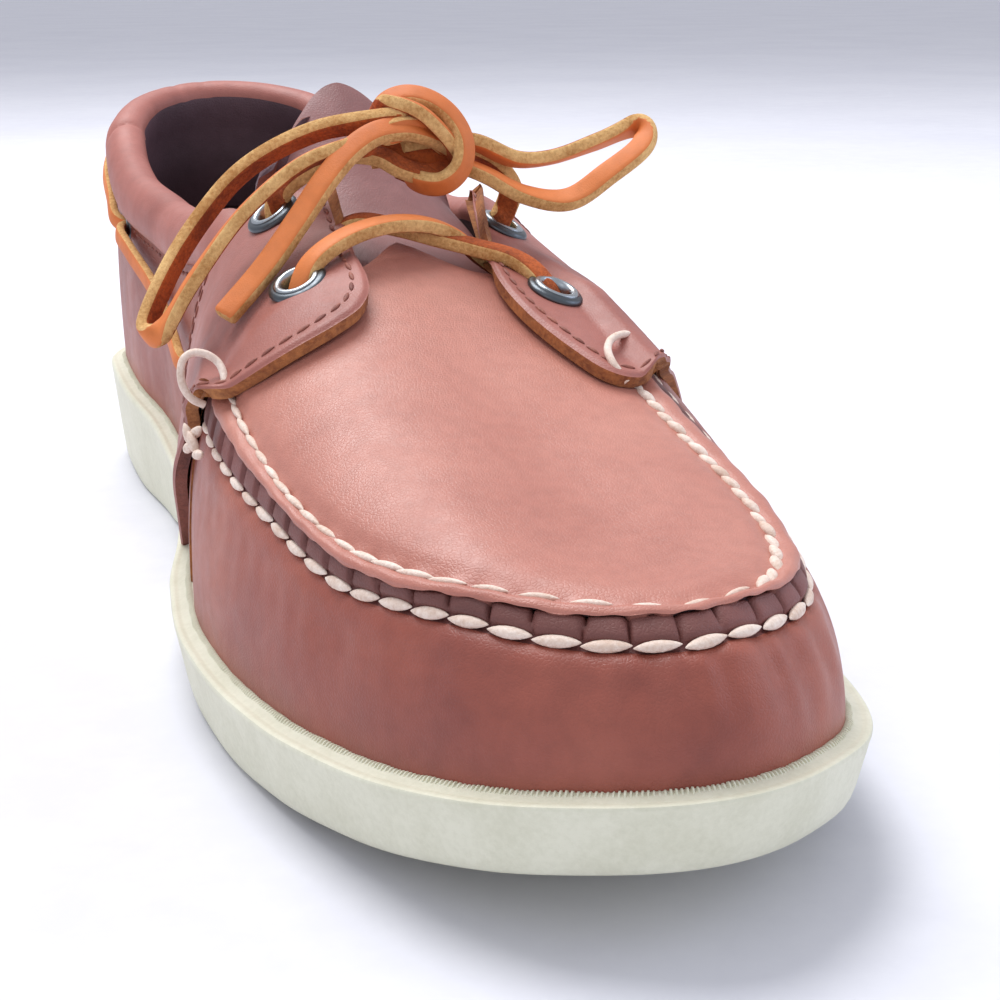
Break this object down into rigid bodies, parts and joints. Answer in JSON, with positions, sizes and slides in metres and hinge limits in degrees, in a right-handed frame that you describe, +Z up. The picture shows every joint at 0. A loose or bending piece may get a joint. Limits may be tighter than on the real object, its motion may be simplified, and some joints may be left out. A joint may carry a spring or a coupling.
{
  "type": "boat shoe",
  "caption": "Low moccasin-toe leather boat shoe for the left foot, with rawhide side lacing, padded collar and a pale rubber sole.",
  "frame": {"origin": "on the floor under the middle of the outsole's box", "axes": "+Y towards the heel, -Y towards the toe, +X towards the lateral (little toe) side, +Z up"},
  "size_m": [0.1039, 0.3, 0.0965],
  "materials": {
    "upper_leather": "smooth oiled full-grain leather with fine creases",
    "saddle_leather": "smooth oiled leather with raw tan edges",
    "collar_leather": "soft padded leather roll",
    "tongue_leather": "smooth leather with a cut edge",
    "footbed": "matt worn lining leather",
    "sole_rubber": "pale matt moulded rubber",
    "eyelet_metal": "satin nickel plate",
    "rawhide_lace": "orange grain on one face, pale fibrous flesh on the other"
  },
  "bodies": {
    "root": {"outsole": "sole_rubber", "insole": "footbed", "collar": "collar_leather", "eyelet_front_medial": "eyelet_metal", "eyelet_front_lateral": "eyelet_metal", "eyelet_rear_medial": "eyelet_metal", "eyelet_rear_lateral": "eyelet_metal", "eyelet_side_front_medial": "eyelet_metal", "eyelet_side_front_lateral": "eyelet_metal", "eyelet_side_rear_medial": "eyelet_metal", "eyelet_side_rear_lateral": "eyelet_metal", "upper": "upper_leather", "saddle_medial": "saddle_leather", "saddle_lateral": "saddle_leather", "tongue": "tongue_leather", "lace_crossing": "rawhide_lace", "side_lace_medial": "rawhide_lace", "side_lace_lateral": "rawhide_lace", "heel_lace": "rawhide_lace", "lace_knot": "rawhide_lace", "lace_loop_medial": "rawhide_lace", "lace_loop_lateral": "rawhide_lace", "lace_end": "rawhide_lace"}
  },
  "joints": []
}
